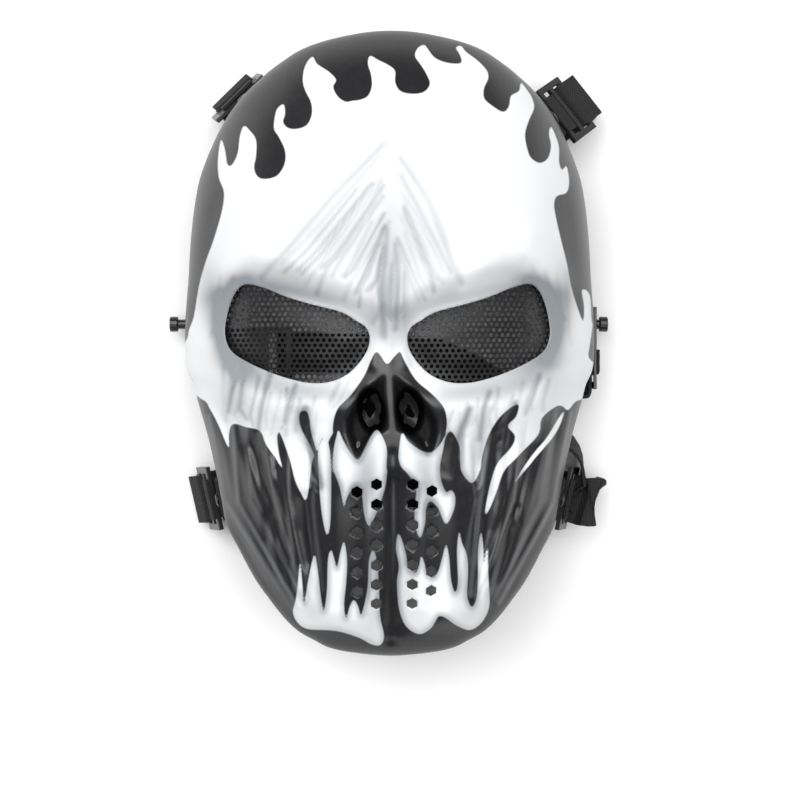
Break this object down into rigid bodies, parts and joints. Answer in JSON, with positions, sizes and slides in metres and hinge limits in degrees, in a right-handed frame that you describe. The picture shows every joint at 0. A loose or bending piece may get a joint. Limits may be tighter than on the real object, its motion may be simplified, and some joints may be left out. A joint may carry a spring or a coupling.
{
  "type": "full face skull mask",
  "caption": "Hard full face skull mask with pierced metal eye lenses, breath holes at the mouth, a drip painted shell and straps on side buckles.",
  "frame": {"origin": "middle of the underside of the whole part, on the surface it lies on", "axes": "+Z out of the face, +Y to the forehead, +X to the viewer's right; the mask lies face up on its rear rim"},
  "size_m": [0.221, 0.29, 0.1254],
  "materials": {
    "painted_shell": "black plastic with white drip paint, satin",
    "lens_steel": "black coated pierced sheet",
    "webbing": "black woven elastic",
    "buckle_plastic": "black moulded plastic",
    "rivet_metal": "black rivet head"
  },
  "bodies": {
    "root": {"buckle_neck_left": "buckle_plastic", "buckle_neck_right": "buckle_plastic", "buckle_top_left": "buckle_plastic", "buckle_top_right": "buckle_plastic", "eye_mesh_left": "lens_steel", "eye_mesh_right": "lens_steel", "hook_plate_left": "buckle_plastic", "hook_plate_right": "buckle_plastic", "rivet_neck_left": "rivet_metal", "rivet_neck_right": "rivet_metal", "rivet_top_left": "rivet_metal", "rivet_top_right": "rivet_metal", "shell": "painted_shell", "strap_neck": "webbing", "strap_side": "webbing", "strap_top": "webbing", "stud_left": "buckle_plastic", "stud_right": "buckle_plastic", "tab_neck_left": "webbing", "tab_neck_right": "webbing", "tab_top_left": "webbing", "tab_top_right": "webbing"}
  },
  "joints": []
}
